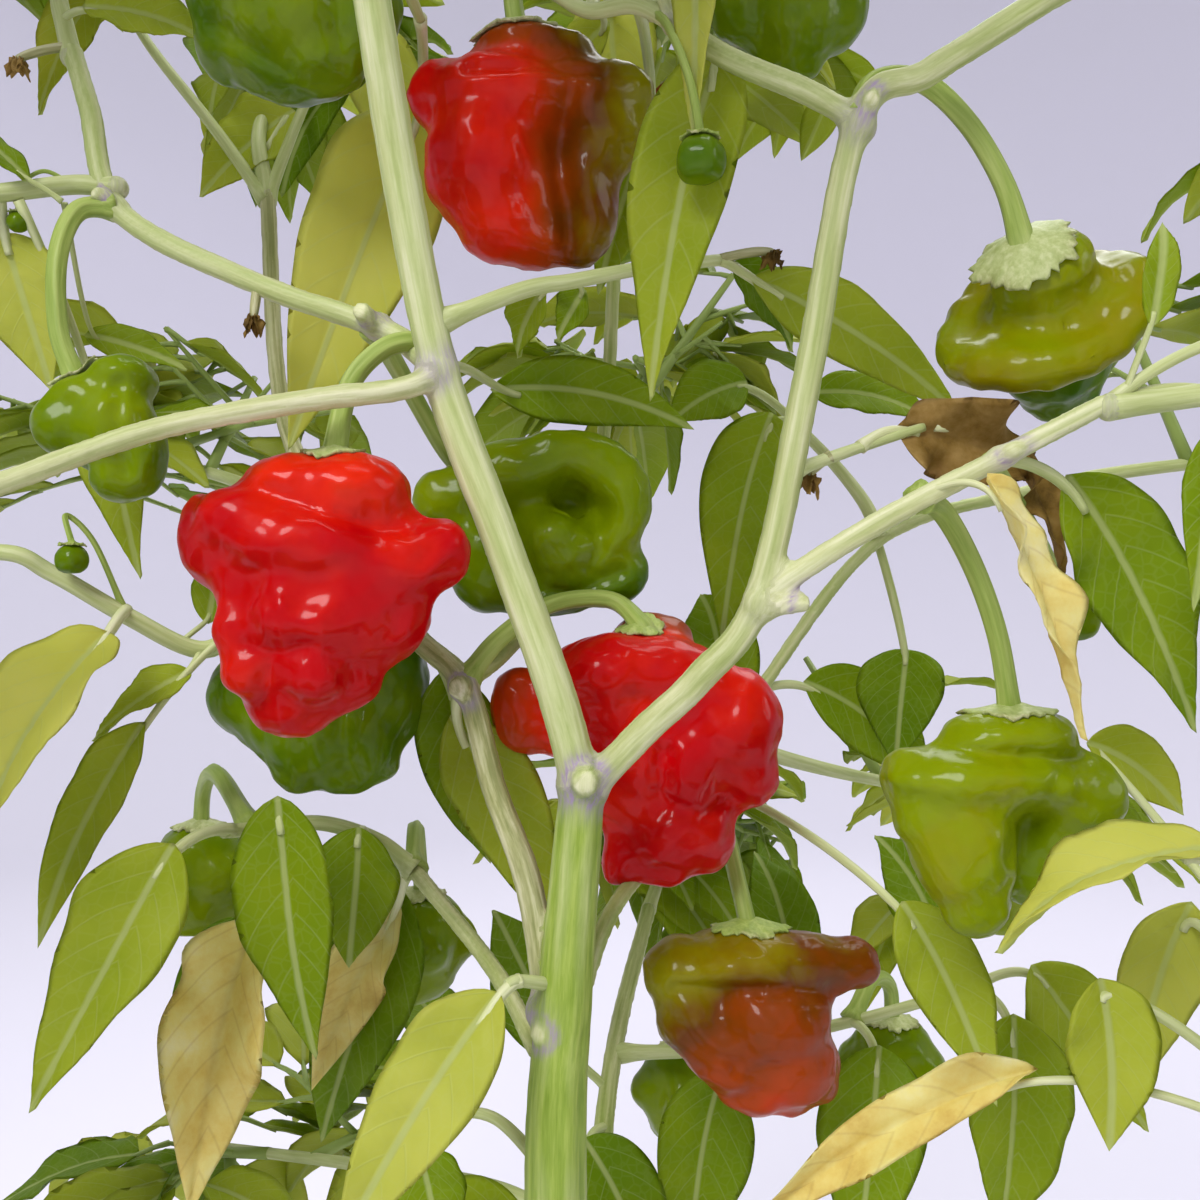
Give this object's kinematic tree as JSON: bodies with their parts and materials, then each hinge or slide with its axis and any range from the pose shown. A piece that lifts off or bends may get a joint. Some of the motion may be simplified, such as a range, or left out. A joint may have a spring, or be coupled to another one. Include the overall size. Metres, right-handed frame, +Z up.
{
  "type": "chilli pepper plant",
  "caption": "Rooted chilli pepper plant with forked stems, leafy crown and hanging ripe and unripe bonnet-shaped peppers.",
  "frame": {"origin": "centre of the flat cut under the main stem, at ground level", "axes": "+Z up along the main stem, +X to the viewer's right, +Y away from the viewer of the pictured side"},
  "size_m": [0.5183, 0.4393, 0.6215],
  "materials": {
    "stem": "satin",
    "pale_stem": "satin",
    "ripe_fruit": "glossy",
    "turning_fruit": "glossy",
    "pale_fruit": "glossy",
    "green_fruit": "glossy",
    "leaf": "satin",
    "dry_leaf": "matte"
  },
  "bodies": {
    "root": {"trunk": "stem", "left_limb": "stem", "right_limb": "stem", "second_stem": "stem", "rear_right_limb": "stem", "right_side_limb": "stem", "right_inner_limb": "stem", "left_front_limb": "pale_stem", "left_rear_limb": "stem", "second_right_limb": "stem", "lower_left_limb": "stem", "low_left_limb": "stem", "low_right_limb": "stem", "low_back_limb": "stem", "fruit_red_left": "ripe_fruit", "fruit_red_middle": "ripe_fruit", "fruit_red_top": "ripe_fruit", "fruit_green_top_left": "green_fruit", "fruit_green_top_right": "green_fruit", "fruit_olive_right": "pale_fruit", "fruit_green_middle": "green_fruit", "fruit_green_lower_left": "green_fruit", "fruit_lime_right": "pale_fruit", "fruit_brown_middle": "turning_fruit", "fruit_green_small_left": "green_fruit", "fruit_green_young_right": "green_fruit", "spray_middle": "leaf", "spray_top_middle": "leaf", "leaf_left_limb": "stem", "leaf_foot_left": "leaf", "leaf_foot_low": "leaf", "leaf_dry_right": "dry_leaf", "spray_rear": "leaf", "spray_lower_left": "leaf", "mass_top_left": "leaf", "mass_top_front": "leaf", "mass_top_middle": "leaf", "mass_top_right": "leaf", "mass_upper_left": "leaf", "mass_upper_back_left": "leaf", "mass_upper_back": "leaf", "mass_upper_back_right": "leaf", "mass_left": "leaf", "mass_left_front": "leaf", "mass_left_low": "leaf", "mass_right_front": "leaf", "mass_right_rear": "leaf", "mass_right_low": "leaf", "mass_low_left": "leaf", "mass_low_front_left": "leaf", "mass_low_front_right": "leaf", "mass_low_back": "leaf", "mass_back_left": "leaf", "mass_back_right_low": "leaf", "mass_back_left_low": "leaf", "mass_back": "leaf"}
  },
  "joints": []
}
